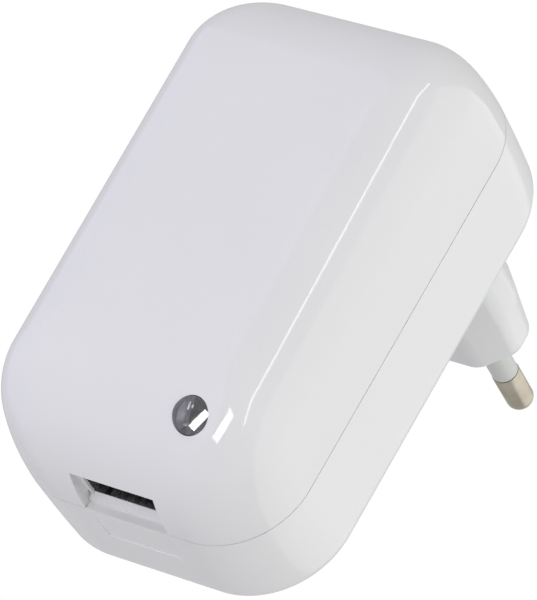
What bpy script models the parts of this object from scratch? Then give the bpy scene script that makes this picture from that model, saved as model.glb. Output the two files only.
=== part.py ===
"""European wall charger with one USB type A port: a moulded two-part case, a Europlug insert with
two round pins, and the mains supply inside it. Metres, +Z up.

The plug stands along +Y and the port faces down. The origin is the centre of the plug's
engagement face, between the pins.
"""

import math

import bmesh
import bpy
from mathutils import Matrix, Vector

# Case
CASE_WIDTH = 0.0440
CASE_LENGTH = 0.0750
FRONT_DEPTH = 0.0193
FRONT_SLOPE = 0.0013
REAR_DEPTH = 0.0151
CORNER_RADIUS = 0.0118
SIDE_ROUND = 0.0089
END_ROUND = 0.0210
SIDE_POWER = 1.75
END_POWER = 2.7
BACK_ROUND = 0.0025
COVER_DRAFT = 0.0005
REAR_DRAFT = 0.0001
WALL = 0.0020
LIP = 0.0008
LIP_HEIGHT = 0.0016
GAP = 0.0003

# Europlug, to EN 50075
PLUG_WIDTH = 0.0353
PLUG_HEIGHT = 0.0137
PLUG_FLAT = 0.0261
PLUG_LENGTH = 0.0212
PLUG_TAPER = 0.0010
PLUG_KINK = 0.0090
PLUG_EDGE = 0.0015
PIN_SPACING = 0.0186
PIN_RADIUS = 0.0020
PIN_LENGTH = 0.0180
SLEEVE_LENGTH = 0.0100
SLEEVE_RADIUS = 0.0019
NECK_RADIUS = 0.00145

# USB type A receptacle and the notch in front of it
NOTCH_WIDTH = 0.0134
NOTCH_HEIGHT = 0.0070
PORT_RECESS = 0.0024
PORT_LIFT = 0.0006
PORT_WIDTH = 0.0131
PORT_HEIGHT = 0.0057
PORT_LENGTH = 0.0142
PORT_SHEET = 0.00035
TONGUE_WIDTH = 0.0111
TONGUE_THICK = 0.00184
CONTACT_WIDTH = 0.0010
CONTACT_THICK = 0.00025
CONTACT_X = (-0.0035, -0.0010, 0.0010, 0.0035)

# Indicator
LED_RADIUS = 0.0025
LED_HEIGHT = 0.0086
LED_X = 0.0118
LED_Z = -0.0279
LED_PROUD = 0.0013

# Circuit board
BOARD_WIDTH = 0.0366
BOARD_THICK = 0.0016
BOARD_LOW = -0.0335
BOARD_HIGH = 0.0338

# Where the case lies behind the plug's engagement face
PLUG_ABOVE_CENTRE = 0.0198
BACK_Y = -PLUG_LENGTH
PART_Y = BACK_Y - REAR_DEPTH
CASE_Z = -PLUG_ABOVE_CENTRE
END_Z = CASE_Z - CASE_LENGTH / 2
TO_PLUS_Y = Matrix.Rotation(math.radians(-90), 4, "X")
TO_MINUS_Y = Matrix.Rotation(math.radians(90), 4, "X")

MATERIALS = {
    "white_gloss": ((0.80, 0.80, 0.82), 0.12, 0.0),
    "white_satin": ((0.74, 0.74, 0.74), 0.30, 0.0),
    "white_sleeve": ((0.72, 0.73, 0.72), 0.35, 0.0),
    "nickel": ((0.62, 0.57, 0.50), 0.25, 1.0),
    "clear_epoxy": ((0.85, 0.87, 0.88), 0.03, 0.0),
    "tinned_steel": ((0.70, 0.70, 0.70), 0.22, 1.0),
    "black_nylon": ((0.02, 0.02, 0.02), 0.45, 0.0),
    "gold": ((0.90, 0.68, 0.30), 0.25, 1.0),
    "laminate": ((0.55, 0.42, 0.20), 0.55, 0.0),
    "ferrite": ((0.06, 0.06, 0.065), 0.60, 0.0),
    "yellow_tape": ((0.85, 0.65, 0.12), 0.35, 0.0),
    "bobbin_nylon": ((0.10, 0.09, 0.08), 0.50, 0.0),
    "black_sleeve": ((0.03, 0.03, 0.035), 0.30, 0.0),
    "green_sleeve": ((0.04, 0.16, 0.08), 0.30, 0.0),
    "grey_coat": ((0.25, 0.32, 0.36), 0.50, 0.0),
    "black_epoxy": ((0.025, 0.025, 0.027), 0.55, 0.0),
    "blue_ceramic": ((0.05, 0.16, 0.50), 0.35, 0.0),
    "beige_coat": ((0.62, 0.50, 0.34), 0.45, 0.0),
    "black_wire": ((0.02, 0.02, 0.02), 0.40, 0.0),
    "red_wire": ((0.45, 0.03, 0.03), 0.40, 0.0),
}


def clear_scene():
    for obj in list(bpy.data.objects):
        bpy.data.objects.remove(obj, do_unlink=True)


def make_collection(name, hidden=False):
    group = bpy.data.collections.new(name)
    group.hide_render = hidden
    bpy.context.scene.collection.children.link(group)
    return group


def get_material(name):
    found = bpy.data.materials.get(name)
    if found:
        return found
    colour, roughness, metallic = MATERIALS[name]
    made = bpy.data.materials.new(name)
    made.use_nodes = True
    shader = made.node_tree.nodes["Principled BSDF"]
    shader.inputs["Base Color"].default_value = (*colour, 1.0)
    shader.inputs["Roughness"].default_value = roughness
    shader.inputs["Metallic"].default_value = metallic
    made.diffuse_color = (*colour, 1.0)
    return made


def add_object(name, mesh, material, matrix=None):
    """Link a mesh as a named piece, or as a hidden cutter when it has no material."""
    obj = bpy.data.objects.new(name, mesh)
    if material:
        mesh.materials.append(get_material(material))
        PIECES.objects.link(obj)
    else:
        CUTTERS.objects.link(obj)
        obj.hide_render = True
        obj.display_type = "WIRE"
    if matrix:
        obj.matrix_world = matrix
    return obj


def finish(bm, name):
    """Turn a bmesh into a mesh with its faces pointing out and its round sides smooth."""
    bmesh.ops.recalc_face_normals(bm, faces=bm.faces[:])
    mesh = bpy.data.meshes.new(name)
    bm.to_mesh(mesh)
    bm.free()
    mesh.shade_smooth()
    mesh.set_sharp_from_angle(angle=math.radians(35))
    return mesh


def inside(x, forward, z):
    """A point in the case: forward of the parting plane, and above the case's centre."""
    return Vector((x, PART_Y - forward, CASE_Z + z))


def box(name, size, centre, material=None, rotation=None):
    bm = bmesh.new()
    bmesh.ops.create_cube(bm, size=1.0)
    bmesh.ops.scale(bm, vec=size, verts=bm.verts)
    matrix = Matrix.Translation(centre)
    if rotation:
        matrix = matrix @ rotation
    return add_object(name, finish(bm, name), material, matrix)


def cylinder(name, radius, low, high, centre, material=None, segments=24, turn=TO_PLUS_Y):
    """A round bar along +Y, from low to high, measured from its centre."""
    bm = bmesh.new()
    bmesh.ops.create_cone(
        bm, cap_ends=True, segments=segments, radius1=radius, radius2=radius, depth=high - low
    )
    bmesh.ops.translate(bm, vec=(0, 0, (high + low) / 2), verts=bm.verts)
    return add_object(name, finish(bm, name), material, Matrix.Translation(centre) @ turn)


def turned(name, profile, centre, material=None, segments=24, turn=TO_PLUS_Y):
    """A turned piece. The profile holds (radius, height) from its top to its bottom."""
    bm = bmesh.new()
    verts = [bm.verts.new((radius, 0, height)) for radius, height in profile]
    for upper, lower in zip(verts, verts[1:]):
        bm.edges.new((upper, lower))
    mesh = bpy.data.meshes.new(name)
    bm.to_mesh(mesh)
    bm.free()
    obj = add_object(name, mesh, material, Matrix.Translation(centre) @ turn)
    screw = obj.modifiers.new("Turn", "SCREW")
    screw.steps = segments
    screw.render_steps = segments
    screw.use_merge_vertices = True
    screw.merge_threshold = 0.00001
    screw.use_smooth_shade = True
    return obj


def tube(name, points, radius, material):
    curve = bpy.data.curves.new(name, "CURVE")
    curve.dimensions = "3D"
    curve.bevel_depth = radius
    curve.bevel_resolution = 2
    curve.use_fill_caps = True
    spline = curve.splines.new("POLY")
    spline.points.add(len(points) - 1)
    for point, place in zip(spline.points, points):
        point.co = (*place, 1.0)
    curve.materials.append(get_material(material))
    obj = bpy.data.objects.new(name, curve)
    PIECES.objects.link(obj)
    return obj


def smooth_route(points, count):
    """Points along a smooth curve that passes through the given ones."""
    padded = [points[0] * 2 - points[1], *points, points[-1] * 2 - points[-2]]
    route = []
    for i in range(1, len(padded) - 2):
        before, start, end, after = padded[i - 1 : i + 3]
        for k in range(count):
            t = k / count
            route.append(
                0.5 * (
                    2 * start
                    + (end - before) * t
                    + (2 * before - 5 * start + 4 * end - after) * t ** 2
                    + (3 * start - before - 3 * end + after) * t ** 3
                )
            )
    route.append(points[-1])
    return route


def combine(obj, other, operation):
    change = obj.modifiers.new(other.name, "BOOLEAN")
    change.operation = operation
    change.object = other
    change.solver = "EXACT"


def cut(obj, *cutters):
    for cutter in cutters:
        combine(obj, cutter, "DIFFERENCE")


def rounded_outline(corners, radius, segments):
    """An outline with each corner replaced by an arc of the given radius."""
    points = []
    count = len(corners)
    for i in range(count):
        here = Vector(corners[i])
        back = (Vector(corners[i - 1]) - here).normalized()
        ahead = (Vector(corners[(i + 1) % count]) - here).normalized()
        half = back.angle(ahead) / 2
        centre = here + (back + ahead).normalized() * (radius / math.sin(half))
        first = here + back * (radius / math.tan(half)) - centre
        last = here + ahead * (radius / math.tan(half)) - centre
        for k in range(segments + 1):
            points.append(centre + first.slerp(last, k / segments).normalized() * radius)
    return points


def rectangle(half_width, half_length):
    return [
        (half_width, -half_length),
        (half_width, half_length),
        (-half_width, half_length),
        (-half_width, -half_length),
    ]


def loft(name, rings, material=None):
    """A closed solid through rings of equal point counts, capped at both ends."""
    bm = bmesh.new()
    loops = [[bm.verts.new(point) for point in ring] for ring in rings]
    count = len(loops[0])
    for low, high in zip(loops, loops[1:]):
        for i in range(count):
            j = (i + 1) % count
            bm.faces.new((low[i], low[j], high[j], high[i]))
    bm.faces.new(loops[0])
    bm.faces.new(loops[-1])
    return add_object(name, finish(bm, name), material)


def round_inset(radius, to_face, power=2.0):
    """How far a rounded edge has drawn in at this distance from the face it runs into.

    A power of 2 is a round arc; less is flatter and more is fuller.
    """
    reach = max(0.0, radius - to_face) / radius
    return radius * (1 - (1 - min(reach, 1.0) ** power) ** (1 / power))


def front_ring(offset, depth):
    """The front cover's section at this depth, drawn in by offset for its inner surface."""
    full = FRONT_DEPTH - offset
    draft = COVER_DRAFT * depth / full
    side = draft + round_inset(SIDE_ROUND - offset, full - depth, SIDE_POWER)
    end = draft + round_inset(END_ROUND - offset, full - depth, END_POWER)
    radius = max(CORNER_RADIUS - offset - (side + end) / 2, 0.0006)
    half_width = CASE_WIDTH / 2 - offset - side
    half_length = CASE_LENGTH / 2 - offset - end
    outline = rounded_outline(rectangle(half_width, half_length), radius, 6)
    slope = FRONT_SLOPE / (CASE_LENGTH / 2) / FRONT_DEPTH
    return [inside(x, depth * (1 + slope * z), z) for x, z in outline]


def front_depths(offset, start):
    """Depths of the cover's sections, closer together as the edge rounds over."""
    full = FRONT_DEPTH - offset
    radius = END_ROUND - offset
    arc = [full - radius * (1 - math.sin(math.radians(a))) for a in range(0, 91, 9)]
    return [start] + [depth for depth in arc if depth > start + 0.0005]


def back_round(offset):
    return max(BACK_ROUND - offset, 0.0005)


def rear_ring(offset, depth):
    """The rear case's section at this depth behind the parting plane."""
    full = REAR_DEPTH - offset
    inset = REAR_DRAFT * depth / full + round_inset(back_round(offset), full - depth)
    radius = CORNER_RADIUS - offset + 0.0012 * (depth / full) ** 2
    half_width = CASE_WIDTH / 2 - offset - inset
    half_length = CASE_LENGTH / 2 - offset - inset
    outline = rounded_outline(rectangle(half_width, half_length), radius, 6)
    return [inside(x, -depth, z) for x, z in outline]


def rear_depths(offset, start):
    full = REAR_DEPTH - offset
    radius = back_round(offset)
    return [start] + [full - radius * (1 - math.sin(math.radians(a))) for a in (0, 23, 45, 68, 90)]


def plug_ring(y, inset=0.0, grow=0.0):
    """The plug's section: flat top and bottom, slanted corners and short upright ends."""
    half_width = PLUG_WIDTH / 2 - inset + grow
    half_height = PLUG_HEIGHT / 2 - inset * 0.8 + grow
    slant = (PLUG_WIDTH - PLUG_FLAT) / PLUG_HEIGHT * half_height
    flat = half_width - slant
    low = half_height - slant
    corners = [
        (half_width, -low),
        (half_width, low),
        (flat, half_height),
        (-flat, half_height),
        (-half_width, low),
        (-half_width, -low),
        (-flat, -half_height),
        (flat, -half_height),
    ]
    return [Vector((x, y, z)) for x, z in rounded_outline(corners, low * 1.7, 3)]


def build_front_cover():
    """Glossy cover: the front face, its rounded edges and the upper part of the port's notch."""
    outer = [front_ring(0.0, depth) for depth in reversed(front_depths(0.0, GAP))]
    rim_start = LIP_HEIGHT + GAP
    rebate = WALL - LIP - GAP
    rim = [front_ring(rebate, GAP), front_ring(rebate, rim_start)]
    inner = [front_ring(WALL, depth) for depth in front_depths(WALL, rim_start)]
    cover = loft("front_cover", outer + rim + inner, "white_gloss")
    notch_low = -CASE_LENGTH / 2 - 0.002
    notch_high = -CASE_LENGTH / 2 + 0.0045
    notch = box(
        "notch_cutter",
        (NOTCH_WIDTH, NOTCH_HEIGHT + 0.002, notch_high - notch_low),
        inside(0, (NOTCH_HEIGHT - 0.002) / 2, (notch_low + notch_high) / 2),
    )
    lamp = cylinder("led_hole_cutter", LED_RADIUS + 0.00015, -0.03, -0.01, inside(LED_X, 0, LED_Z))
    cut(cover, notch, lamp)
    return cover


def build_rear_case():
    """Rear shell: locating lip, board posts, the ledge under the port and the plug's window."""
    outer = [rear_ring(0.0, depth) for depth in reversed(rear_depths(0.0, 0.0))]
    step = WALL - LIP
    lip = [rear_ring(step, 0.0), rear_ring(step, -LIP_HEIGHT), rear_ring(WALL, -LIP_HEIGHT)]
    inner = [rear_ring(WALL, depth) for depth in rear_depths(WALL, 0.0)]
    case = loft("rear_case", outer + lip + inner, "white_satin")
    behind = BOARD_THICK + 0.0003
    for i, (x, z) in enumerate([(-0.0155, -0.026), (0.0155, -0.026), (-0.0150, 0.031), (0.0150, 0.031)]):
        post = cylinder(
            f"post_{i + 1}", 0.0018, behind, REAR_DEPTH - 0.001, inside(x, 0, z), segments=16
        )
        combine(case, post, "UNION")
    window = loft("window_cutter", [plug_ring(BACK_Y + 0.002, 0, GAP), plug_ring(BACK_Y - 0.004, 0, GAP)])
    ledge = box(
        "ledge_cutter",
        (NOTCH_WIDTH + 0.0004, 0.004, 0.006),
        inside(0, 0.0023, -CASE_LENGTH / 2 + 0.0028),
    )
    scoop = box(
        "scoop_cutter",
        (0.0124, 0.0068, 0.004),
        inside(0.0002, -0.0033, -CASE_LENGTH / 2 - 0.00187),
        rotation=Matrix.Rotation(math.radians(2.1), 4, "X"),
    )
    cut(case, window, ledge, scoop)
    return case


def build_plug():
    """Plug insert, its two nickelled pins and the insulating sleeves on them."""
    taper_end = -PLUG_EDGE
    rings = [
        plug_ring(BACK_Y - WALL - GAP - 0.002, 0, 0.0014),
        plug_ring(BACK_Y - WALL - GAP, 0, 0.0014),
        plug_ring(BACK_Y - WALL - GAP),
        plug_ring(-PLUG_KINK),
        plug_ring(taper_end, PLUG_TAPER),
    ]
    for angle in (30, 60, 90):
        a = math.radians(angle)
        rings.append(
            plug_ring(
                taper_end + PLUG_EDGE * math.sin(a), PLUG_TAPER + PLUG_EDGE * (1 - math.cos(a))
            )
        )
    plug = loft("europlug_body", rings, "white_satin")
    hollow = box("plug_hollow_cutter", (0.0264, 0.0170, 0.0088), Vector((0, -0.0180, 0)))
    cut(plug, hollow)
    for side, x in (("left", -PIN_SPACING / 2), ("right", PIN_SPACING / 2)):
        bore = cylinder(f"bore_{side}_cutter", SLEEVE_RADIUS + 0.0001, -0.0120, 0.002, Vector((x, 0, 0)))
        cut(plug, bore)
        tip = PIN_LENGTH
        round_tip = [
            (PIN_RADIUS - 0.0016 * (1 - math.cos(a)), tip - 0.0016 * (1 - math.sin(a)))
            for a in [math.radians(step) for step in (90, 60, 30, 0)]
        ]
        profile = [(0, tip), *round_tip]
        profile += [(PIN_RADIUS, SLEEVE_LENGTH + 0.0001), (NECK_RADIUS, SLEEVE_LENGTH + 0.0001)]
        profile += [(NECK_RADIUS, -0.0098), (0.0026, -0.0098), (0.0026, -0.0108), (0.0012, -0.0108)]
        profile += [(0.0012, -0.0130), (0, -0.0130)]
        turned(f"pin_{side}", profile, Vector((x, 0, 0)), "nickel")
        sleeve = cylinder(
            f"pin_sleeve_{side}", SLEEVE_RADIUS, -0.0085, SLEEVE_LENGTH, Vector((x, 0, 0)), "white_sleeve"
        )
        core = cylinder(f"sleeve_{side}_cutter", NECK_RADIUS + 0.0001, -0.011, 0.012, Vector((x, 0, 0)))
        cut(sleeve, core)


def cover_depth(z):
    """Depth of the cover's outer surface on its middle line, at this height."""
    plane = FRONT_DEPTH * (1 + FRONT_SLOPE * z / (CASE_LENGTH / 2) / FRONT_DEPTH)
    from_end = CASE_LENGTH / 2 - abs(z) - COVER_DRAFT
    return plane - round_inset(END_ROUND, from_end, END_POWER)


def build_indicator():
    """Clear five millimetre lamp with its two leads, standing on the board behind the cover."""
    base = cover_depth(LED_Z) + LED_PROUD - LED_HEIGHT
    shoulder = LED_HEIGHT - LED_RADIUS
    dome = [
        (LED_RADIUS * math.cos(math.radians(a)), shoulder + LED_RADIUS * math.sin(math.radians(a)))
        for a in (90, 75, 60, 45, 30, 15, 0)
    ]
    profile = dome + [(LED_RADIUS, 0.0011), (0.0029, 0.0011), (0.0029, 0.0), (0.0, 0.0)]
    body = turned("led_body", profile, inside(LED_X, base, LED_Z), "clear_epoxy", turn=TO_MINUS_Y)
    slot = box("led_slot_cutter", (0.0036, 0.0066, 0.0014), inside(LED_X, base + 0.0023, LED_Z))
    cut(body, slot)
    for name, x, rise, head in (
        ("led_lead_cathode", LED_X - 0.00127, 0.0044, 0.0013),
        ("led_lead_anode", LED_X + 0.00127, 0.0046, 0.0006),
    ):
        low = -BOARD_THICK - 0.0012
        high = base + rise
        lead = box(name, (0.0005, high - low, 0.0005), inside(x, (high + low) / 2, LED_Z), "tinned_steel")
        shift = 0.0004 if x < LED_X else -0.0001
        anvil = box(f"{name}_head", (head, 0.0011, 0.0006), inside(x + shift, high - 0.0004, LED_Z))
        combine(lead, anvil, "UNION")
        hole = cylinder(f"{name}_hole_cutter", 0.0006, -0.002, 0.004, inside(x, 0, LED_Z), segments=12)
        cut(BOARD, hole)


def build_port():
    """Receptacle: bent steel shell, black tongue and four sprung contacts with soldered tails."""
    low = -CASE_LENGTH / 2 + PORT_RECESS
    middle = PORT_LIFT + PORT_HEIGHT / 2
    centre_z = low + PORT_LENGTH / 2
    size = (PORT_WIDTH, PORT_HEIGHT, PORT_LENGTH)
    shell = box("usb_shell", size, inside(0, middle, centre_z), "tinned_steel")
    hollow = box(
        "usb_shell_cutter",
        (PORT_WIDTH - 2 * PORT_SHEET, PORT_HEIGHT - 2 * PORT_SHEET, PORT_LENGTH + 0.004),
        inside(0, middle, centre_z),
    )
    cut(shell, hollow)
    tongue_face = PORT_LIFT + 0.0028
    base_low = low + 0.0108
    base_high = low + PORT_LENGTH - 0.0003
    insulator = box(
        "usb_tongue",
        (TONGUE_WIDTH, TONGUE_THICK, base_low - low - 0.0012 + 0.001),
        inside(0, tongue_face + TONGUE_THICK / 2, (low + 0.0012 + base_low + 0.001) / 2),
        "black_nylon",
    )
    block = box(
        "usb_base_block",
        (PORT_WIDTH - 2 * PORT_SHEET - 0.0004, PORT_HEIGHT - 2 * PORT_SHEET - 0.0004, base_high - base_low),
        inside(0, middle, (base_low + base_high) / 2),
    )
    combine(insulator, block, "UNION")
    leaf_front = tongue_face - 0.0003
    pivot = base_low + 0.0006
    for number, x in enumerate(CONTACT_X, 1):
        reach = 0.0082 if abs(x) > 0.002 else 0.0072
        groove = box(
            f"groove_{number}_cutter",
            (CONTACT_WIDTH + 0.0005, 0.0016, PORT_LENGTH),
            inside(x, tongue_face - 0.0001, low + 0.0016 + PORT_LENGTH / 2),
        )
        cut(insulator, groove)
        leaf = box(
            f"usb_contact_{number}",
            (CONTACT_WIDTH, CONTACT_THICK, reach),
            inside(x, leaf_front + CONTACT_THICK / 2, pivot),
            "gold",
        )
        leaf.data.transform(Matrix.Translation((0, 0, -reach / 2)))
        tail_length = base_high - pivot + 0.0011
        tail = box(
            f"usb_tail_{number}",
            (CONTACT_WIDTH, CONTACT_THICK, tail_length),
            inside(x, leaf_front + CONTACT_THICK / 2, pivot + 0.0003 + tail_length / 2),
            "gold",
        )
        leg = box(
            f"usb_leg_{number}_solid",
            (CONTACT_WIDTH * 0.7, leaf_front + BOARD_THICK + 0.0009, CONTACT_THICK),
            inside(
                x,
                (leaf_front - BOARD_THICK - 0.0006) / 2,
                pivot + 0.0003 + tail_length - CONTACT_THICK / 2,
            ),
        )
        combine(tail, leg, "UNION")
        hole = cylinder(
            f"usb_hole_{number}_cutter",
            0.0007,
            -0.002,
            0.004,
            inside(x, 0, pivot + 0.0003 + tail_length - CONTACT_THICK / 2),
            segments=12,
        )
        cut(BOARD, hole)


def build_board():
    """Circuit board: a phenolic laminate plate on the rear case's four posts."""
    middle = (BOARD_LOW + BOARD_HIGH) / 2
    half_length = (BOARD_HIGH - BOARD_LOW) / 2
    outline = rounded_outline(rectangle(BOARD_WIDTH / 2, half_length), 0.0070, 5)
    rings = [[inside(x, depth, z + middle) for x, z in outline] for depth in (0.0, -BOARD_THICK)]
    return loft("circuit_board", rings, "laminate")


def build_transformer():
    """Isolating transformer: two ferrite E cores closed round a wound bobbin."""
    x0, z0 = -0.0020, 0.0040
    forward = 0.0088
    half_leg = 0.0073
    for name, sign in (("transformer_core_upper", 1), ("transformer_core_lower", -1)):
        core = box(
            name,
            (0.0160, 0.0050, half_leg - 0.00015),
            inside(x0, forward, z0 + sign * (half_leg + 0.00015) / 2),
            "ferrite",
        )
        for side in (-1, 1):
            window = box(
                f"{name}_window_{side + 2}_cutter",
                (0.0040, 0.0070, 0.0104),
                inside(x0 + side * 0.0040, forward, z0),
            )
            cut(core, window)
    bobbin = box("transformer_bobbin", (0.0060, 0.0070, 0.0098), inside(x0, forward, z0), "bobbin_nylon")
    for side in (-1, 1):
        flange = box(
            f"bobbin_flange_{side + 2}",
            (0.0114, 0.0142, 0.0007),
            inside(x0, forward - 0.0012, z0 + side * 0.00455),
        )
        combine(bobbin, flange, "UNION")
    bore = box("bobbin_bore_cutter", (0.0046, 0.0056, 0.0200), inside(x0, forward, z0))
    cut(bobbin, bore)
    winding = box("transformer_winding", (0.0108, 0.0116, 0.0078), inside(x0, forward, z0), "yellow_tape")
    bed = box("winding_bed_cutter", (0.0066, 0.0076, 0.0200), inside(x0, forward, z0))
    cut(winding, bed)


def build_can_capacitor(name, x, z, radius, height):
    """Electrolytic can: rounded top edge, crimp groove near the rubber end."""
    profile = [
        (0, height),
        (radius - 0.0005, height),
        (radius - 0.00015, height - 0.00015),
        (radius, height - 0.0005),
        (radius, 0.0020),
        (radius - 0.0003, 0.0016),
        (radius, 0.0012),
        (radius, 0.0002),
        (radius - 0.0002, 0.0),
        (0, 0.0),
    ]
    sleeve = "black_sleeve" if "input" in name else "green_sleeve"
    turned(name, profile, inside(x, GAP, z), sleeve, 20, TO_MINUS_Y)


def build_supply():
    """The rest of the mains supply, standing or lying on the board's front side."""
    build_can_capacitor("input_capacitor_1", -0.0128, 0.0240, 0.0040, 0.0125)
    build_can_capacitor("input_capacitor_2", -0.0040, 0.0240, 0.0040, 0.0125)
    build_can_capacitor("output_capacitor", -0.0125, -0.0175, 0.0040, 0.0115)
    along_z = Matrix.Identity(4)
    place = inside(0.0085, 0.0034, 0.0245)
    cylinder("input_choke", 0.0030, -0.0045, 0.0045, place, "green_sleeve", 20, along_z)
    place = inside(0.0148, 0.0021, 0.0215)
    cylinder("fusible_resistor", 0.0017, -0.0045, 0.0045, place, "grey_coat", 16, along_z)
    place = inside(-0.0150, 0.0022, -0.0065)
    cylinder("output_diode", 0.0018, -0.0038, 0.0038, place, "black_epoxy", 16, along_z)
    place = inside(0.0150, 0.0015, -0.0175)
    cylinder("led_resistor", 0.0011, -0.0030, 0.0030, place, "beige_coat", 12, along_z)
    place = inside(0.0110, 0.0040, 0.0020)
    cylinder("y_capacitor", 0.0036, -0.0013, 0.0013, place, "blue_ceramic", 20, along_z)
    box("bridge_rectifier", (0.0066, 0.0026, 0.0054), inside(0.0120, 0.0017, 0.0110), "black_epoxy")
    box("switch_transistor", (0.0046, 0.0048, 0.0036), inside(-0.0150, 0.0028, 0.0145), "black_epoxy")
    for name, x, z, length, pairs in (
        ("controller_chip", -0.0148, 0.0050, 0.0094, 4),
        ("optocoupler", 0.0110, -0.0070, 0.0046, 2),
    ):
        chip = box(name, (0.0050, 0.0033, length), inside(x, 0.0025, z), "black_epoxy")
        for k in range(pairs):
            row = z + (k - (pairs - 1) / 2) * 0.00254
            legs = box(f"{name}_legs_{k}", (0.0078, 0.0003, 0.0006), inside(x, 0.0024, row))
            combine(chip, legs, "UNION")
            for side in (-1, 1):
                leg = box(
                    f"{name}_leg_{k}_{side + 2}",
                    (0.0003, 0.0022, 0.0006),
                    inside(x + side * 0.00375, 0.00145, row),
                )
                combine(chip, leg, "UNION")


def build_wires():
    """Insulated mains wires from the pins' tails to the back of the board."""
    for side, sign, colour in (("left", -1, "black_wire"), ("right", 1, "red_wire")):
        x = sign * PIN_SPACING / 2
        through = [
            Vector((x, -0.0134, 0.0)),
            Vector((x, -0.0175, 0.0)),
            Vector((x * 0.98, -0.0225, 0.0006)),
            Vector((x * 0.92, -0.0280, 0.0040)),
            Vector((x * 0.90, PART_Y + BOARD_THICK + 0.0003, 0.0052)),
        ]
        tube(f"mains_wire_{side}", smooth_route(through, 3), 0.00075, colour)


clear_scene()
PIECES = make_collection("usb_wall_charger")
CUTTERS = make_collection("cutters", hidden=True)
build_front_cover()
build_rear_case()
build_plug()
BOARD = build_board()
build_indicator()
build_port()
build_transformer()
build_supply()
build_wires()
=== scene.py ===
import math

import bmesh
import bpy
from mathutils import Matrix, Vector


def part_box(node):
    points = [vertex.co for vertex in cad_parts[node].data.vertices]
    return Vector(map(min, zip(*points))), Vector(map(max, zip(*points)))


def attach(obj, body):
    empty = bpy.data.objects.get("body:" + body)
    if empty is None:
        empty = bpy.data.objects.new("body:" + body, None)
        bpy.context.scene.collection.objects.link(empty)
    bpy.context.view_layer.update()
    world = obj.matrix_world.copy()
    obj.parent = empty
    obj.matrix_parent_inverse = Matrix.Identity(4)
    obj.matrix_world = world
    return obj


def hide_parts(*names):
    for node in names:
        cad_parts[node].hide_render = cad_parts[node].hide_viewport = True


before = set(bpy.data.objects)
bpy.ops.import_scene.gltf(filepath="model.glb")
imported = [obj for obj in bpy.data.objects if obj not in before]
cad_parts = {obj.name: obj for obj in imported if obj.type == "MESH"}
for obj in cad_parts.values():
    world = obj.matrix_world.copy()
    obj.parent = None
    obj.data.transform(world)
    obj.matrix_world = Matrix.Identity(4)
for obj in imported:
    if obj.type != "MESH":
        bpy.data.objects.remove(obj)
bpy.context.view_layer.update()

# Front cover. Glossy white ABS, injection moulded in one shot: a deep tray whose long sides
# roll over quickly and whose ends roll over slowly. It is welded to the rear case on a stepped
# lip. A notch in its lower end clears the port, and the lamp looks through a round hole.
CASE_WIDTH = 0.0440
CASE_LENGTH = 0.0750
CORNER_RADIUS = 0.0118
WALL = 0.0020
LIP_HEIGHT = 0.0016
LIP_WALL = 0.0008
PART_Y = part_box("rear_case")[0].y + LIP_HEIGHT
CASE_Z = (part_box("rear_case")[0].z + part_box("rear_case")[1].z) / 2
LOW_END = CASE_Z - CASE_LENGTH / 2
COVER_DEPTH = 0.0193
COVER_FALL = 0.0013
COVER_SLOPE = COVER_FALL / (CASE_LENGTH / 2) / COVER_DEPTH
COVER_DRAFT = 0.0005
SIDE_ROLL = 0.0089
END_ROLL = 0.0210
SEAM = 0.00014
PORT_NOTCH = (0.0134, 0.0090, 0.0065)
LAMP_SET_BACK = 0.0013
LAMP_HOLE = 0.00262
LAMP_WELL = 0.00265
LAMP_SLOPE = math.radians(21)
SMOOTH_BELOW = math.radians(32)


def roll_over(radius, to_face, power):
    """How far a rolled edge has drawn in at this distance from the face it runs into."""
    reach = min(max(radius - to_face, 0.0) / radius, 1.0)
    return radius * (1 - (1 - reach ** power) ** (1 / power))


def case_loop(bm):
    """The case's outline as a loop of edges: a cube with its four long edges rounded."""
    bmesh.ops.create_cube(bm, size=1.0)
    bmesh.ops.scale(bm, vec=(CASE_WIDTH, 0.01, CASE_LENGTH), verts=bm.verts)
    uprights = [e for e in bm.edges if abs(e.verts[0].co.y - e.verts[1].co.y) > 0.005]
    bmesh.ops.bevel(
        bm, geom=uprights, offset=CORNER_RADIUS, segments=28, profile=0.5, affect="EDGES", material=-1
    )
    for axis, flat in ((Vector((1, 0, 0)), 0.0100), (Vector((0, 0, 1)), 0.0250)):
        for k in range(-6, 7):
            everything = bm.verts[:] + bm.edges[:] + bm.faces[:]
            bmesh.ops.bisect_plane(bm, geom=everything, plane_co=axis * (flat * k / 6), plane_no=axis)
    bmesh.ops.delete(bm, geom=[v for v in bm.verts if v.co.y > 0], context="VERTS")
    bmesh.ops.delete(bm, geom=bm.faces[:], context="FACES_ONLY")
    mark = bm.verts.layers.float_vector.new("outline")
    inner = [e for e in bm.edges if not on_outline(e)]
    bmesh.ops.delete(bm, geom=inner, context="EDGES")
    for vert in bm.verts:
        vert[mark] = vert.co
    return bm.edges[:], mark


def on_outline(edge):
    """True for an edge that lies on the case's outline and not across it."""
    middle = (edge.verts[0].co + edge.verts[1].co) / 2
    over_x = max(abs(middle.x) - CASE_WIDTH / 2 + CORNER_RADIUS, 0.0)
    over_z = max(abs(middle.z) - CASE_LENGTH / 2 + CORNER_RADIUS, 0.0)
    return math.hypot(over_x, over_z) > CORNER_RADIUS * 0.98


def settle(verts, mark, half_width, half_length, radius, place):
    """Move a copy of the outline to its new size, and set each point down with place(x, z)."""
    for vert in verts:
        new = []
        for value, half, new_half in (
            (vert[mark][0], CASE_WIDTH / 2, half_width),
            (vert[mark][2], CASE_LENGTH / 2, half_length),
        ):
            straight = half - CORNER_RADIUS
            flat = min(abs(value), straight) / straight * (new_half - radius)
            turn = max(abs(value) - straight, 0.0) / CORNER_RADIUS * radius
            new.append(math.copysign(flat + turn, value))
        vert.co = place(new[0], new[1])


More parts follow.
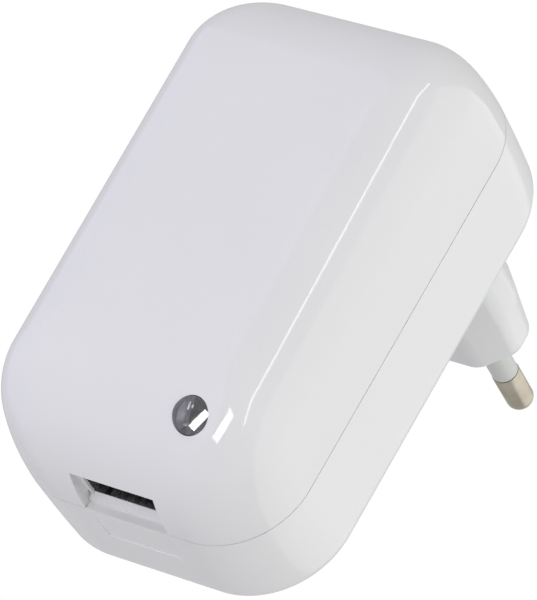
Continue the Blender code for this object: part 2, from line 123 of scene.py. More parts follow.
def next_ring(bm, loop):
    """Extrude a loop of edges in place, for its new points to be moved."""
    out = bmesh.ops.extrude_edge_only(bm, edges=loop)["geom"]
    verts = [g for g in out if isinstance(g, bmesh.types.BMVert)]
    fresh = set(verts)
    edges = [g for g in out if isinstance(g, bmesh.types.BMEdge) and set(g.verts) <= fresh]
    return verts, edges


def grow_rings(bm, loop, mark, sections):
    """Extrude a loop through each section in turn, and close the last one."""
    for section in sections:
        verts, loop = next_ring(bm, loop)
        settle(verts, mark, *section)
    bmesh.ops.edgeloop_fill(bm, edges=loop)


def cover_section(depth, offset=0.0):
    """The cover's section at a depth in front of the seam, or its inner wall's with an offset."""
    full = COVER_DEPTH - offset
    draft = COVER_DRAFT * depth / full
    side = draft + roll_over(SIDE_ROLL - offset, full - depth, 1.75)
    end = draft + roll_over(END_ROLL - offset, full - depth, 2.7)
    radius = max(CORNER_RADIUS - offset - (side + end) / 2, 0.0006)
    half_width = CASE_WIDTH / 2 - offset - side
    half_length = CASE_LENGTH / 2 - offset - end

    def place(x, z):
        return Vector((x, PART_Y - depth * (1 + COVER_SLOPE * z), CASE_Z + z))

    return half_width, half_length, radius, place


def cover_depths(offset, count):
    """Depths that crowd together where the cover rolls over into its face."""
    full = COVER_DEPTH - offset
    return [full * math.sin(math.radians(90 * k / count)) for k in range(1, count + 1)]


def solid_piece(bm, name):
    """Close a bmesh into an object at the origin, with its faces out and its rounds smooth."""
    bmesh.ops.remove_doubles(bm, verts=bm.verts, dist=0.000002)
    bmesh.ops.recalc_face_normals(bm, faces=bm.faces)
    mesh = bpy.data.meshes.new(name)
    bm.to_mesh(mesh)
    bm.free()
    mesh.shade_smooth()
    mesh.set_sharp_from_angle(angle=SMOOTH_BELOW)
    obj = bpy.data.objects.new(name, mesh)
    bpy.context.scene.collection.objects.link(obj)
    return obj


def tool_block(size, centre, tilt=0.0, rounded=0.0):
    """A block used to cut or join another piece."""
    bm = bmesh.new()
    bmesh.ops.create_cube(bm, size=1.0)
    bmesh.ops.scale(bm, vec=size, verts=bm.verts)
    if rounded:
        bmesh.ops.bevel(
            bm, geom=bm.edges[:], offset=rounded, segments=4, profile=0.5, affect="EDGES", material=-1
        )
    bmesh.ops.rotate(bm, cent=(0, 0, 0), matrix=Matrix.Rotation(tilt, 3, "X"), verts=bm.verts)
    bmesh.ops.translate(bm, vec=centre, verts=bm.verts)
    return solid_piece(bm, "tool")


def tool_bar(radius, low, high, x, z, segments=64):
    """A round bar along Y used to cut or join another piece."""
    bm = bmesh.new()
    bmesh.ops.create_cone(
        bm, cap_ends=True, segments=segments, radius1=radius, radius2=radius, depth=high - low
    )
    bmesh.ops.rotate(bm, cent=(0, 0, 0), matrix=Matrix.Rotation(math.pi / 2, 3, "X"), verts=bm.verts)
    bmesh.ops.translate(bm, vec=(x, (low + high) / 2, z), verts=bm.verts)
    return solid_piece(bm, "tool")


def machine(obj, tools, operation="DIFFERENCE"):
    """Cut the tools from a piece, or join them to it, and keep the result as its mesh."""
    for tool in tools:
        change = obj.modifiers.new("Machine", "BOOLEAN")
        change.operation = operation
        change.solver = "EXACT"
        change.object = tool
    made = bpy.data.meshes.new_from_object(obj.evaluated_get(bpy.context.evaluated_depsgraph_get()))
    obj.modifiers.clear()
    obj.data = made
    for tool in tools:
        bpy.data.objects.remove(tool, do_unlink=True)
    made.shade_smooth()
    made.set_sharp_from_angle(angle=SMOOTH_BELOW)
    return obj


def soften(obj, width, segments=2):
    """Break the sharp edges by a small round, as a polished mould leaves them."""
    edge = obj.modifiers.new("Edge", "BEVEL")
    edge.width = width
    edge.segments = segments
    edge.limit_method = "ANGLE"
    edge.angle_limit = math.radians(40)
    edge.harden_normals = True
    edge.miter_outer = "MITER_ARC"


def finish_of(name, colour, roughness, metallic=0.0, **sockets):
    """A material with a Principled shader, and its constant numbers on the shader's sockets."""
    material = bpy.data.materials.new(name)
    material.use_nodes = True
    shader = material.node_tree.nodes["Principled BSDF"]
    shader.inputs["Base Color"].default_value = (*colour, 1.0)
    shader.inputs["Roughness"].default_value = roughness
    shader.inputs["Metallic"].default_value = metallic
    for key, value in sockets.items():
        shader.inputs[key.replace("_", " ")].default_value = value
    material.diffuse_color = (*colour, 1.0)
    return material


def noise_at(material, scale, detail=3.0, stretch=(1, 1, 1), turn=(0, 0, 0)):
    """Noise on the piece's own coordinates, with its scale in cells per metre."""
    tree = material.node_tree
    where = tree.nodes.new("ShaderNodeTexCoord")
    lay = tree.nodes.new("ShaderNodeMapping")
    lay.inputs["Scale"].default_value = stretch
    lay.inputs["Rotation"].default_value = turn
    noise = tree.nodes.new("ShaderNodeTexNoise")
    noise.inputs["Scale"].default_value = scale
    noise.inputs["Detail"].default_value = detail
    tree.links.new(where.outputs["Object"], lay.inputs["Vector"])
    tree.links.new(lay.outputs["Vector"], noise.inputs["Vector"])
    return noise.outputs["Fac"]


def spread(material, value, low, high, start, stop):
    """Turn a noise value into a range of numbers."""
    ramp = material.node_tree.nodes.new("ShaderNodeMapRange")
    for socket, number in (("From Min", start), ("From Max", stop), ("To Min", low), ("To Max", high)):
        ramp.inputs[socket].default_value = number
    material.node_tree.links.new(value, ramp.inputs["Value"])
    return ramp.outputs["Result"]


def vary_roughness(material, value, low, high):
    """Let the roughness wander between two values over the piece."""
    shader = material.node_tree.nodes["Principled BSDF"]
    material.node_tree.links.new(spread(material, value, low, high, 0.3, 0.7), shader.inputs["Roughness"])


def vary_colour(material, value, one, other, start=0.3, stop=0.7):
    """Blend between two close colours over the piece."""
    mix = material.node_tree.nodes.new("ShaderNodeMix")
    mix.data_type = "RGBA"
    mix.inputs[6].default_value = (*one, 1.0)
    mix.inputs[7].default_value = (*other, 1.0)
    links = material.node_tree.links
    links.new(spread(material, value, 0.0, 1.0, start, stop), mix.inputs[0])
    links.new(mix.outputs[2], material.node_tree.nodes["Principled BSDF"].inputs["Base Color"])


def raise_surface(material, value, height, distance):
    """Bump from a value: height is the strength, distance the relief in metres."""
    shader = material.node_tree.nodes["Principled BSDF"]
    bump = material.node_tree.nodes.new("ShaderNodeBump")
    bump.inputs["Strength"].default_value = height
    bump.inputs["Distance"].default_value = distance
    links = material.node_tree.links
    links.new(value, bump.inputs["Height"])
    earlier = [link.from_socket for link in links if link.to_socket == shader.inputs["Normal"]]
    if earlier:
        links.new(earlier[0], bump.inputs["Normal"])
    links.new(bump.outputs["Normal"], shader.inputs["Normal"])


gloss_white = finish_of(
    "gloss_white_abs", (0.765, 0.765, 0.77), 0.04, Subsurface_Weight=0.12, Subsurface_Scale=0.0012,
    Subsurface_Radius=(1.0, 0.9, 0.8), IOR=1.52, Coat_Weight=0.15, Coat_Roughness=0.03,
)
vary_colour(gloss_white, noise_at(gloss_white, 60, 2), (0.76, 0.76, 0.765), (0.772, 0.772, 0.776))
vary_roughness(gloss_white, noise_at(gloss_white, 220, 4, (1, 1, 0.4)), 0.03, 0.06)
raise_surface(gloss_white, noise_at(gloss_white, 45, 1), 0.12, 0.0002)
raise_surface(gloss_white, noise_at(gloss_white, 900, 3, (1, 0.2, 0.05), (0, 0, 0.5)), 0.03, 0.00005)

bm = bmesh.new()
rim, mark = case_loop(bm)
settle(bm.verts, mark, *cover_section(SEAM))
grow_rings(bm, rim, mark, [cover_section(d) for d in cover_depths(0.0, 44) if d > SEAM + 0.0004])
lap = WALL - LIP_WALL - SEAM
lap_end = LIP_HEIGHT + SEAM
steps = [cover_section(SEAM, lap), cover_section(lap_end, lap)]
steps += [cover_section(d, WALL) for d in [lap_end, *cover_depths(WALL, 24)] if d >= lap_end]
grow_rings(bm, rim, mark, steps)
front_cover = solid_piece(bm, "front_cover_shell")
led_low, led_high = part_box("led_body")
lamp_x, lamp_z = (led_low.x + led_high.x) / 2, (led_low.z + led_high.z) / 2
lamp_face = Vector((lamp_x, led_low.y + LAMP_SET_BACK, lamp_z))


def lamp_bar(radius, above, below):
    """A bar square to the sloping cover at the lamp, from below the surface to above it."""
    bm = bmesh.new()
    bmesh.ops.create_cone(
        bm, cap_ends=True, segments=96, radius1=radius, radius2=radius, depth=above - below
    )
    bmesh.ops.translate(bm, vec=(0, 0, (above + below) / 2), verts=bm.verts)
    tilt = Matrix.Rotation(math.pi / 2 + LAMP_SLOPE, 3, "X")
    bmesh.ops.rotate(bm, cent=(0, 0, 0), matrix=tilt, verts=bm.verts)
    bmesh.ops.translate(bm, vec=lamp_face, verts=bm.verts)
    return solid_piece(bm, "tool")


machine(
    front_cover,
    [
        tool_block(PORT_NOTCH, (0, PART_Y - 0.0025, LOW_END + 0.00125)),
        tool_bar(LAMP_WELL, lamp_face.y + 0.0014, PART_Y - 0.01, lamp_x, lamp_z),
        lamp_bar(LAMP_HOLE, 0.0040, -0.0026),
    ],
)
soften(front_cover, 0.00012)
front_cover.data.materials.append(gloss_white)
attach(front_cover, "charger")
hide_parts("front_cover")

# Rear case. White polycarbonate tray with a crisp but rounded back edge. Its lip locates the
# cover, its four posts carry the board, and the plug insert shows through a window in its back.
# The end wall forms a stepped ledge in front of the port, with a shallow finger scoop below.
BACK_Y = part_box("rear_case")[1].y
TRAY_DEPTH = BACK_Y - PART_Y
BACK_ROUND = 0.0025
POST_RADIUS = 0.0018
POSTS = ((-0.0155, -0.026), (0.0155, -0.026), (-0.0150, 0.031), (0.0150, 0.031))
LEDGE = (0.0138, 0.0040, 0.0060)
SCOOP = (0.0124, 0.0068, 0.0040)
SILL = (0.0133, 0.0020, 0.00115)
SILL_CHAMFER = 0.00060
CHEEK = (0.0006, 0.0066, 0.0004)
PLUG_WIDTH = 0.0353
PLUG_HEIGHT = 0.0137
PLUG_FLAT = 0.0261
PLUG_ROUND = 0.00125


def tray_section(depth, offset=0.0):
    """The tray's section at a depth behind the seam."""
    full = TRAY_DEPTH - offset
    inset = 0.0001 * depth / full + roll_over(max(BACK_ROUND - offset, 0.0005), full - depth, 2.0)
    radius = CORNER_RADIUS - offset + 0.0012 * (depth / full) ** 2

    def place(x, z):
        return Vector((x, PART_Y + depth, CASE_Z + z))

    return CASE_WIDTH / 2 - offset - inset, CASE_LENGTH / 2 - offset - inset, radius, place


def tray_depths(offset, count):
    """Depths that crowd together where the tray's wall rolls over into its back."""
    full = TRAY_DEPTH - offset
    edge = max(BACK_ROUND - offset, 0.0005)
    straight = [full * k / 6 for k in range(1, 5)]
    return straight + [full - edge * (1 - math.sin(math.radians(90 * k / count))) for k in range(count + 1)]


satin_white = finish_of(
    "white_polycarbonate", (0.78, 0.78, 0.785), 0.12, Subsurface_Weight=0.10, Subsurface_Scale=0.0012,
    Subsurface_Radius=(1.0, 0.9, 0.8), IOR=1.55,
)
vary_colour(satin_white, noise_at(satin_white, 70, 2), (0.775, 0.775, 0.78), (0.79, 0.79, 0.793))
vary_roughness(satin_white, noise_at(satin_white, 260, 4), 0.09, 0.17)
raise_surface(satin_white, noise_at(satin_white, 50, 1), 0.12, 0.0002)

bm = bmesh.new()
rim, mark = case_loop(bm)
settle(bm.verts, mark, *tray_section(0.0))
grow_rings(bm, rim, mark, [tray_section(d) for d in tray_depths(0.0, 10)])
lap = WALL - LIP_WALL
steps = [tray_section(0.0, lap), tray_section(-LIP_HEIGHT, lap), tray_section(-LIP_HEIGHT, WALL)]
steps += [tray_section(d, WALL) for d in [0.0, *tray_depths(WALL, 4)]]
grow_rings(bm, rim, mark, steps)
rear_case = solid_piece(bm, "rear_case_shell")
posts = [tool_bar(POST_RADIUS, PART_Y + 0.0019, BACK_Y - 0.001, x, CASE_Z + z, 32) for x, z in POSTS]
machine(rear_case, posts, "UNION")


def plug_loop(bm, grow=0.0):
    """The plug's outline: eight corners, rounded, seen along the pins."""
    slant = (PLUG_WIDTH - PLUG_FLAT) / 2
    half_width, half_height = PLUG_WIDTH / 2 + grow, PLUG_HEIGHT / 2 + grow
    bmesh.ops.create_circle(bm, cap_ends=True, segments=8, radius=1.0)
    places = [
        (half_width, half_height - slant),
        (half_width - slant, half_height),
        (-half_width + slant, half_height),
        (-half_width, half_height - slant),
        (-half_width, -half_height + slant),
        (-half_width + slant, -half_height),
        (half_width - slant, -half_height),
        (half_width, -half_height + slant),
    ]
    ordered = sorted(bm.verts, key=lambda v: math.atan2(v.co.y, v.co.x) % math.tau)
    for vert, (x, z) in zip(ordered, places):
        vert.co = (x, 0, z)
    bmesh.ops.bevel(
        bm, geom=bm.verts[:], offset=PLUG_ROUND, segments=12, profile=0.5, affect="VERTICES", material=-1
    )
    bmesh.ops.delete(bm, geom=bm.faces[:], context="FACES_ONLY")
    mark = bm.verts.layers.float_vector.new("outline")
    for vert in bm.verts:
        vert[mark] = vert.co
    return bm.edges[:], mark


def plug_rings(bm, loop, mark, stations):
    """Extrude the plug's outline through (y, inset) stations."""
    for y, inset in stations:
        verts, loop = next_ring(bm, loop)
        for vert in verts:
            x, z = vert[mark][0], vert[mark][2]
            across = 1 - inset / (PLUG_WIDTH / 2)
            tall = 1 - inset * 0.8 / (PLUG_HEIGHT / 2)
            vert.co = (x * across, y, z * tall)
    bmesh.ops.edgeloop_fill(bm, edges=loop)


bm = bmesh.new()
loop, mark = plug_loop(bm, SEAM)
bmesh.ops.edgeloop_fill(bm, edges=loop)
plug_rings(bm, loop, mark, [(0.008, 0.0)])
bmesh.ops.translate(bm, vec=(0, BACK_Y - 0.005, 0), verts=bm.verts)
window = solid_piece(bm, "tool")
ledge = tool_block(LEDGE, (0, PART_Y - 0.0023, LOW_END + 0.0028))
scoop = tool_block(SCOOP, (0.0002, PART_Y + 0.0033, LOW_END - 0.00187), tilt=math.radians(2.1))
machine(rear_case, [window, ledge, scoop])
bm = bmesh.new()
bmesh.ops.create_cube(bm, size=1.0)
bmesh.ops.scale(bm, vec=SILL, verts=bm.verts)
outer_edge = [v for v in bm.verts if v.co.y < 0 and v.co.z < 0]
bmesh.ops.translate(bm, vec=(0, SILL_CHAMFER, 0), verts=outer_edge)
bmesh.ops.translate(bm, vec=(0, PART_Y + 0.0001, LOW_END + 0.00176), verts=bm.verts)
sill = solid_piece(bm, "tool")
cheeks = [tool_block(CHEEK, (x, PART_Y - 0.0030, LOW_END + 0.00212)) for x in (-0.0064, 0.0064)]
machine(rear_case, [sill, *cheeks], "UNION")
soften(rear_case, 0.00012)
rear_case.data.materials.append(satin_white)
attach(rear_case, "charger")
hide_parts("rear_case")

# Europlug insert. Polycarbonate block to the flat plug standard, drafted towards its face and
# clipped in from inside the rear case. It is hollow behind the pins, where the wires are soldered.
PLUG_KINK = -0.0090
PLUG_TAPER = 0.0010
PLUG_EDGE = 0.0015
BORE_RADIUS = 0.0020
HOLLOW = (0.0264, 0.0170, 0.0088)
FLANGE = (0.0381, 0.0020, 0.0165)

plug_white = finish_of(
    "plug_polycarbonate", (0.76, 0.76, 0.765), 0.16, Subsurface_Weight=0.10, Subsurface_Scale=0.0012,
    IOR=1.55,
)
vary_colour(plug_white, noise_at(plug_white, 80, 2), (0.755, 0.755, 0.76), (0.775, 0.775, 0.778))
vary_roughness(plug_white, noise_at(plug_white, 300, 4), 0.12, 0.22)
raise_surface(plug_white, noise_at(plug_white, 90, 2), 0.15, 0.0002)

bm = bmesh.new()
loop, mark = plug_loop(bm)
bmesh.ops.edgeloop_fill(bm, edges=loop)
root_y = BACK_Y - WALL - SEAM
for vert in bm.verts:
    vert.co.y = root_y
round_face = [
    (-PLUG_EDGE + PLUG_EDGE * math.sin(a), PLUG_TAPER + PLUG_EDGE * (1 - math.cos(a)))
    for a in [math.radians(9 * k) for k in range(11)]
]
kink = [(PLUG_KINK - 0.0012, 0.0), (PLUG_KINK - 0.0004, 0.00003), (PLUG_KINK + 0.0006, 0.00018)]
plug_rings(bm, loop, mark, kink + round_face)
plug_body = solid_piece(bm, "plug_insert")
flange = tool_block(FLANGE, (0, root_y - FLANGE[1] / 2, 0), rounded=0.0004)
machine(plug_body, [flange], "UNION")
pin_places = []
for side in ("left", "right"):
    low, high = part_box(f"pin_{side}")
    pin_places.append(((low.x + high.x) / 2, (low.z + high.z) / 2))
bores = [tool_bar(BORE_RADIUS, -0.0120, 0.0020, x, z) for x, z in pin_places]
machine(plug_body, [tool_block(HOLLOW, (0, -0.0180, 0), rounded=0.0006), *bores])
plug_body.data.materials.append(plug_white)
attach(plug_body, "charger")
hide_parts("europlug_body")

# Pins. Turned brass, nickel plated and worn to a warm grey, with a rounded nose. The half next
# to the plug wears a moulded nylon sleeve, a hair thinner than the metal, so that a finger can't
# reach a live pin.
PIN_RADIUS = 0.0020
PIN_LENGTH = 0.0180
PIN_TAIL = 0.0130
NOSE_ROUND = 0.0016
NECK_RADIUS = 0.00145
SLEEVE_END = 0.0100
SLEEVE_RADIUS = 0.0019
SLEEVE_BORE = 0.00155
SLEEVE_ROUND = 0.00015


def turn_on_y(name, profile, x, z):
    """Spin (radius, y) points, listed along the piece, into a turned piece along Y."""
    bm = bmesh.new()
    verts = [bm.verts.new((x + radius, y, z)) for radius, y in profile]
    edges = [bm.edges.new(pair) for pair in zip(verts, verts[1:])]
    bmesh.ops.spin(
        bm, geom=verts + edges, cent=(x, 0, z), axis=(0, 1, 0), angle=math.tau, steps=64, use_merge=True
    )
    return solid_piece(bm, name)


def arc(centre_radius, centre_y, radius, start, stop, count):
    """Points on an arc of a profile, from start to stop degrees."""
    points = []
    for k in range(count + 1):
        a = math.radians(start + (stop - start) * k / count)
        points.append((centre_radius + radius * math.cos(a), centre_y + radius * math.sin(a)))
    return points


worn_nickel = finish_of("worn_nickel", (0.54, 0.49, 0.40), 0.34, 1.0)
vary_colour(worn_nickel, noise_at(worn_nickel, 260, 5), (0.46, 0.41, 0.33), (0.62, 0.57, 0.47))
vary_roughness(worn_nickel, noise_at(worn_nickel, 700, 4, (1, 0.15, 1)), 0.24, 0.46)
raise_surface(worn_nickel, noise_at(worn_nickel, 1500, 3, (1, 0.12, 1)), 0.10, 0.00005)

nylon_sleeve = finish_of(
    "nylon_sleeve", (0.62, 0.64, 0.61), 0.38, Subsurface_Weight=0.2, Subsurface_Scale=0.001, IOR=1.5
)
vary_roughness(nylon_sleeve, noise_at(nylon_sleeve, 500, 3), 0.32, 0.46)
raise_surface(nylon_sleeve, noise_at(nylon_sleeve, 800, 2), 0.08, 0.00005)

for side, (x, z) in zip(("left", "right"), pin_places):
    nose = arc(PIN_RADIUS - NOSE_ROUND, PIN_LENGTH - NOSE_ROUND, NOSE_ROUND, 90, 0, 12)
    shoulder = [(PIN_RADIUS, 0.0103), (PIN_RADIUS - 0.0001, 0.0101), (NECK_RADIUS, 0.0101)]
    collar = [(NECK_RADIUS, -0.0098), (0.0026, -0.0098), (0.0026, -0.0108), (0.0012, -0.0108)]
    tail = [(0.0012, -PIN_TAIL), (0, -PIN_TAIL)]
    pin = turn_on_y(f"contact_pin_{side}", [(0, PIN_LENGTH), *nose, *shoulder, *collar, *tail], x, z)
    pin.data.materials.append(worn_nickel)
    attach(pin, "charger")
    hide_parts(f"pin_{side}")
    lip = arc(SLEEVE_RADIUS - SLEEVE_ROUND, SLEEVE_END - SLEEVE_ROUND, SLEEVE_ROUND, 0, 90, 4)
    root = [(SLEEVE_BORE, -0.0085), (SLEEVE_RADIUS, -0.0085), (SLEEVE_RADIUS, 0.0)]
    sleeve = turn_on_y(f"nylon_sleeve_{side}", [*root, *lip, (SLEEVE_BORE, SLEEVE_END), root[0]], x, z)
    sleeve.data.materials.append(nylon_sleeve)
    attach(sleeve, "charger")
    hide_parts(f"pin_sleeve_{side}")

# Indicator lamp. A clear epoxy lamp, five millimetres across, that fills its hole in the cover.
# Its shallow lens slopes with the cover. Behind it sits a plated reflector cup, coloured dark as painted
# shade and streaked light as painted reflections, with the stamped steel lead frame.
LAMP_RADIUS = 0.0025
FOOT_RADIUS = 0.0029
FOOT_DEPTH = 0.0011
LENS_RADIUS = 0.0100
LENS_TILT = Vector((0.28, -0.87, -0.40)).normalized()
lamp_back = led_high.y
lens_top = lamp_face + Vector((0, 0.00005, 0))

clear_epoxy = finish_of(
    "clear_epoxy", (0.93, 0.94, 0.95), 0.02, IOR=1.54, Transmission_Weight=1.0, Coat_Weight=1.0,
    Coat_IOR=2.1, Coat_Roughness=0.02,
)
vary_roughness(clear_epoxy, noise_at(clear_epoxy, 400, 2), 0.01, 0.03)

stem_top, foot_top = lamp_face.y + 0.0022, lamp_back - FOOT_DEPTH
profile = [(0, stem_top), (LAMP_RADIUS, stem_top), (LAMP_RADIUS, foot_top)]
profile += [(FOOT_RADIUS, foot_top), (FOOT_RADIUS, lamp_back), (0, lamp_back)]
stem = turn_on_y("tool", profile, lamp_x, lamp_z)
lamp = lamp_bar(LAMP_RADIUS, 0.0030, -0.0028)
bm = bmesh.new()
bmesh.ops.create_uvsphere(bm, u_segments=160, v_segments=80, radius=LENS_RADIUS)
bmesh.ops.translate(bm, vec=lens_top - LENS_TILT * LENS_RADIUS, verts=bm.verts)
machine(lamp, [solid_piece(bm, "tool")], "INTERSECT")
machine(lamp, [stem], "UNION")
machine(lamp, [tool_block((0.0036, 0.0066, 0.0014), (lamp_x, lamp_back - 0.0023, lamp_z))])
lamp.name = "lamp_epoxy"
soften(lamp, 0.00015, 3)
lamp.data.materials.append(clear_epoxy)
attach(lamp, "charger")
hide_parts("led_body")

# Painted shade and reflections: the reflector's base colour is dark to paint the shade inside the lamp, and
# the light streaks of its noise paint the reflections in the cup.
nickel_painted_shade_and_reflections = finish_of("nickel_painted_shade_and_reflections", (0.10, 0.10, 0.105), 0.30, 1.0)
painted_reflection_streaks = noise_at(nickel_painted_shade_and_reflections, 800, 5, (1, 0.5, 0.35), (0, 0.6, 0))
vary_colour(nickel_painted_shade_and_reflections, painted_reflection_streaks, (0.05, 0.05, 0.055), (0.38, 0.38, 0.39), 0.40, 0.68)
raise_surface(nickel_painted_shade_and_reflections, noise_at(nickel_painted_shade_and_reflections, 900, 3), 0.5, 0.0002)
cup = [(0.0, -0.0021), (0.0007, -0.0021), (0.0010, -0.0018), (0.00236, -0.0010)]
cup += [(0.0024, -0.0011), (0.0024, -0.0024), (0.0, -0.0024)]
reflector = turn_on_y("lamp_reflector", [(r, -y) for r, y in cup], 0, 0)
to_slope = Matrix.Translation(lamp_face) @ Matrix.Rotation(LAMP_SLOPE, 4, "X")
reflector.data.transform(to_slope)
reflector.data.materials.append(nickel_painted_shade_and_reflections)
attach(reflector, "charger")

tinned = finish_of("tinned_steel", (0.72, 0.72, 0.71), 0.22, 1.0)
vary_colour(tinned, noise_at(tinned, 500, 4), (0.64, 0.64, 0.63), (0.76, 0.76, 0.76))
vary_roughness(tinned, noise_at(tinned, 900, 4, (1, 1, 0.2)), 0.16, 0.32)
raise_surface(tinned, noise_at(tinned, 1800, 2, (1, 1, 0.15)), 0.06, 0.00004)
tabs = ((-0.0011, 0.0006, 0.0017), (-0.0006, 0.0009, 0.0015))
for number, (across, low, high) in enumerate(tabs, 1):
    bm = bmesh.new()
    bmesh.ops.create_cube(bm, size=1.0)
    bmesh.ops.scale(bm, vec=(0.00028, 0.0004, high - low), verts=bm.verts)
    bmesh.ops.bevel(
        bm, geom=bm.edges[:], offset=0.00006, segments=2, profile=0.5, affect="EDGES", material=-1
    )
    bmesh.ops.translate(bm, vec=(across, 0.0011, (low + high) / 2), verts=bm.verts)
    tab = solid_piece(bm, f"lead_frame_tab_{number}")
    tab.data.transform(to_slope)
    tab.data.materials.append(tinned)
    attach(tab, "charger")


def paint(name, material):
    """Give a carried-over piece of the frame its finish."""
    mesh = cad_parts[name].data
    mesh.materials.clear()
    mesh.materials.append(material)


paint("led_lead_anode", tinned)
paint("led_lead_cathode", tinned)

# USB type A receptacle. A box of tinned sheet bent round a black nylon tongue, with four gilt
# contact leaves that spring back into grooves when a plug goes in.
black_nylon = finish_of("black_nylon", (0.012, 0.012, 0.013), 0.42)
vary_roughness(black_nylon, noise_at(black_nylon, 900, 3), 0.36, 0.52)
raise_surface(black_nylon, noise_at(black_nylon, 1400, 3), 0.10, 0.00005)
gilt = finish_of("gilt_bronze", (0.90, 0.66, 0.28), 0.22, 1.0)
vary_roughness(gilt, noise_at(gilt, 1200, 3, (1, 1, 0.1)), 0.16, 0.32)
paint("usb_shell", tinned)
paint("usb_tongue", black_nylon)
for number in range(1, 5):
    paint(f"usb_contact_{number}", gilt)
    paint(f"usb_tail_{number}", gilt)

# Circuit board. Paper soaked in phenolic resin, pressed to a sheet and sheared to size, so that
# the brown grain of the paper shows. It rests on the four posts of the rear case.
laminate = finish_of("phenolic_laminate", (0.36, 0.24, 0.10), 0.45)
vary_colour(laminate, noise_at(laminate, 900, 5, (1, 1, 0.15)), (0.30, 0.19, 0.075), (0.42, 0.29, 0.13))
raise_surface(laminate, noise_at(laminate, 2500, 2, (1, 1, 0.2)), 0.10, 0.00003)
paint("circuit_board", laminate)

# Transformer. Two sintered ferrite cores close round a moulded bobbin. Its winding is wrapped in
# yellow film tape, which keeps the mains side from the port's side.
ferrite = finish_of("sintered_ferrite", (0.045, 0.045, 0.05), 0.62)
vary_colour(ferrite, noise_at(ferrite, 2500, 5), (0.030, 0.030, 0.034), (0.075, 0.075, 0.08))
raise_surface(ferrite, noise_at(ferrite, 3500, 4), 0.25, 0.00005)
bobbin_black = finish_of("bobbin_phenolic", (0.05, 0.04, 0.035), 0.5)
raise_surface(bobbin_black, noise_at(bobbin_black, 1500, 3), 0.12, 0.00004)
film_tape = finish_of("yellow_film_tape", (0.80, 0.52, 0.05), 0.28, Coat_Weight=0.3, Coat_Roughness=0.1)
vary_colour(film_tape, noise_at(film_tape, 350, 4, (0.3, 0.3, 1)), (0.74, 0.46, 0.04), (0.86, 0.60, 0.09))
raise_surface(film_tape, noise_at(film_tape, 500, 3, (0.3, 0.3, 1)), 0.2, 0.00010)
paint("transformer_core_upper", ferrite)
paint("transformer_core_lower", ferrite)
paint("transformer_bobbin", bobbin_black)
paint("transformer_winding", film_tape)

# Small parts of the supply. Aluminium cans in shrunk sleeves, a sleeved choke, resistors in
# lacquer, a dipped ceramic disc and moulded chips, all soldered to the circuit board.
black_pvc = finish_of("black_shrink_sleeve", (0.018, 0.018, 0.022), 0.24)
green_pvc = finish_of("green_shrink_sleeve", (0.02, 0.10, 0.045), 0.24)
grey_lacquer = finish_of("flameproof_lacquer", (0.16, 0.22, 0.26), 0.52)
mould_black = finish_of("moulding_compound", (0.016, 0.016, 0.018), 0.55)
blue_dip = finish_of("dipped_ceramic", (0.02, 0.09, 0.36), 0.30)
beige_lacquer = finish_of("beige_lacquer", (0.48, 0.35, 0.20), 0.42)
for material, scale, relief in (
    (black_pvc, 300, 0.08),
    (green_pvc, 300, 0.08),
    (grey_lacquer, 900, 0.2),
    (mould_black, 2200, 0.2),
    (blue_dip, 350, 0.15),
    (beige_lacquer, 700, 0.15),
):
    base = material.node_tree.nodes["Principled BSDF"].inputs["Roughness"].default_value
    vary_roughness(material, noise_at(material, scale * 2, 3), base * 0.8, base * 1.25)
    raise_surface(material, noise_at(material, scale, 3), relief, 0.00006)
for name, material in (
    ("input_capacitor_1", black_pvc),
    ("input_capacitor_2", black_pvc),
    ("output_capacitor", green_pvc),
    ("input_choke", green_pvc),
    ("fusible_resistor", grey_lacquer),
    ("output_diode", mould_black),
    ("led_resistor", beige_lacquer),
    ("y_capacitor", blue_dip),
    ("bridge_rectifier", mould_black),
    ("switch_transistor", mould_black),
    ("controller_chip", mould_black),
    ("optocoupler", mould_black),
):
    paint(name, material)

# Mains wires. Stranded copper in a PVC sleeve, one black and one red. Each is soldered to a
# pin's tail and to the back of the board.
for name, colour in (("mains_wire_left", (0.016, 0.016, 0.018)), ("mains_wire_right", (0.36, 0.014, 0.012))):
    pvc = finish_of(f"{name}_pvc", colour, 0.34)
    vary_roughness(pvc, noise_at(pvc, 900, 3), 0.28, 0.42)
    raise_surface(pvc, noise_at(pvc, 1200, 2), 0.08, 0.00004)
    paint(name, pvc)

# Studio. The charger is held up as if by its plug, over a pale floor, in a white surround that
# only shows and sheds no light. A soft box draws the highlight beside the lamp, a tall strip the
# line along the long edge, and a large card and a side box fill the faces.
MIDDLE = Vector((0.0, PART_Y, CASE_Z))
LIGHT_DISTANCE = 0.8
FLOOR_Z = -0.95


def stand_at(toward, along):
    """Where a light stands, facing the charger, with its height along a direction."""
    toward = Vector(toward).normalized()
    across = Vector(along).cross(toward).normalized()
    turn = Matrix((across, toward.cross(across), toward)).transposed().to_4x4()
    return Matrix.Translation(MIDDLE + toward * LIGHT_DISTANCE) @ turn


def soft_light(name, toward, along, width, height, radiance, colour=(1, 1, 1)):
    """An even rectangular light, as bright in all directions as a lit sheet of its radiance."""
    data = bpy.data.lights.new(name, "AREA")
    data.shape = "RECTANGLE"
    data.size = width
    data.size_y = height
    data.energy = radiance * math.pi * width * height
    data.color = colour
    light = bpy.data.objects.new(name, data)
    light.matrix_world = stand_at(toward, along)
    bpy.context.scene.collection.objects.link(light)


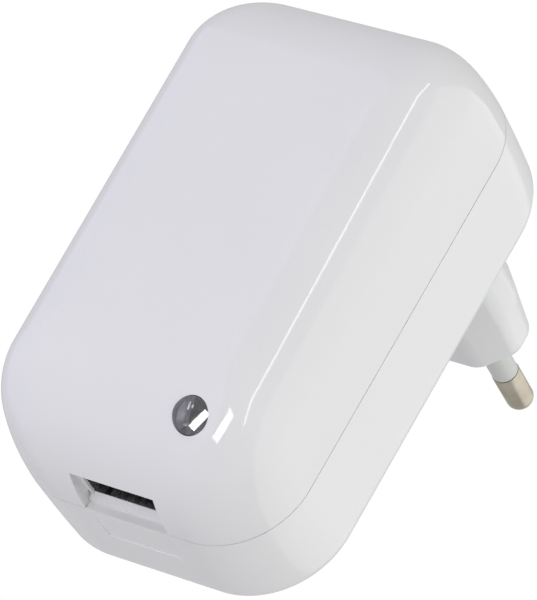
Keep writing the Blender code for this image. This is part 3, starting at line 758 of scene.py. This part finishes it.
soft_light("lamp_side_box", (0.249, -0.844, -0.478), (0.257, -0.147, 0.44), 0.155, 0.47, 6.2)
soft_light("edge_strip", (0.69, -0.65, 0.31), (0, 0, 1), 0.035, 1.0, 4.2)
soft_light("front_card", (-0.75, -0.60, -0.10), (0, 0, 1), 1.80, 1.80, 0.42, (0.72, 0.69, 1.0))
soft_light("side_box", (0.86, 0.42, 0.28), (0, 0, 1), 1.60, 1.60, 0.62)

bm = bmesh.new()
bmesh.ops.create_grid(bm, x_segments=1, y_segments=1, size=3.0)
bmesh.ops.translate(bm, vec=(0, 0, FLOOR_Z), verts=bm.verts)
floor = solid_piece(bm, "studio_floor")
floor.data.materials.append(finish_of("pale_paper", (0.80, 0.80, 0.80), 0.9))

bm = bmesh.new()
bmesh.ops.create_icosphere(bm, subdivisions=4, radius=2.8)
surround = solid_piece(bm, "studio_surround")
lit_white = finish_of(
    "lit_white", (0.0, 0.0, 0.0), 1.0, Emission_Strength=1.0, Emission_Color=(1, 1, 1, 1),
    Specular_IOR_Level=0.0,
)
surround.data.materials.append(lit_white)
surround.visible_diffuse = False
surround.visible_glossy = False
surround.visible_transmission = False
surround.visible_shadow = False

world = bpy.data.worlds.new("studio_white")
world.use_nodes = True
world.node_tree.nodes["Background"].inputs["Color"].default_value = (1.0, 1.0, 1.0, 1.0)
world.node_tree.nodes["Background"].inputs["Strength"].default_value = 0.58
bpy.context.scene.world = world
bpy.context.scene.view_settings.view_transform = "Standard"

camera_data = bpy.data.cameras.new("studio_camera")
camera_data.sensor_fit = "VERTICAL"
camera_data.sensor_height = 24.0
camera_data.lens = 203.24
camera_data.clip_end = 20.0
camera = bpy.data.objects.new("studio_camera", camera_data)
view_up = Vector((-0.23463, -0.54661, 0.80384))
view_back = Vector((0.53862, -0.76149, -0.36059))
turn = Matrix((view_up.cross(view_back), view_up, view_back)).transposed().to_4x4()
camera.matrix_world = Matrix.Translation(Vector((0.3584, -0.54091, -0.26049))) @ turn
bpy.context.scene.collection.objects.link(camera)
bpy.context.scene.camera = camera
